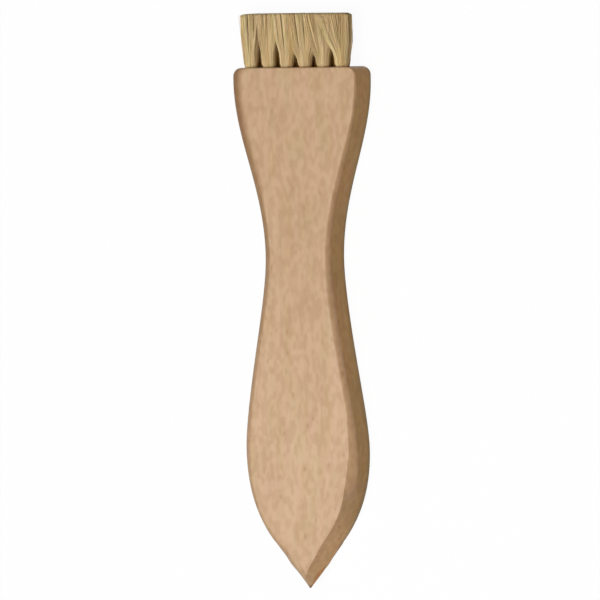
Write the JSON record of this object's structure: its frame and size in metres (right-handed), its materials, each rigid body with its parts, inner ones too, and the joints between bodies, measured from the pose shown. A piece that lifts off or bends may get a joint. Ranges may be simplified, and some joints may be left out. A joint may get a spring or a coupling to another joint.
{
  "type": "brush",
  "caption": "Flat wooden hand brush with rows of natural bristle tufts in its wide end, a narrow waist, a swelling for the palm and a pointed end for narrow gaps.",
  "frame": {"origin": "on the back face's plane, under the middle of the whole brush, bristles included", "axes": "+Y along the brush from the handle's point to the bristle tips, +X to the right seen from the front, +Z out of the front face; the brush lies on its back face"},
  "size_m": [0.0384, 0.16, 0.011],
  "materials": {
    "beech": "matte",
    "natural_bristle": "matte",
    "anchor_wire": "satin"
  },
  "bodies": {
    "root": {"handle": "beech", "tuft_front_1": "natural_bristle", "tuft_front_2": "natural_bristle", "tuft_front_3": "natural_bristle", "tuft_front_4": "natural_bristle", "tuft_front_5": "natural_bristle", "tuft_front_6": "natural_bristle", "tuft_back_1": "natural_bristle", "tuft_back_2": "natural_bristle", "tuft_back_3": "natural_bristle", "tuft_back_4": "natural_bristle", "tuft_back_5": "natural_bristle", "anchor_front_1": "anchor_wire", "anchor_front_2": "anchor_wire", "anchor_front_3": "anchor_wire", "anchor_front_4": "anchor_wire", "anchor_front_5": "anchor_wire", "anchor_front_6": "anchor_wire", "anchor_back_1": "anchor_wire", "anchor_back_2": "anchor_wire", "anchor_back_3": "anchor_wire", "anchor_back_4": "anchor_wire", "anchor_back_5": "anchor_wire"}
  },
  "joints": []
}
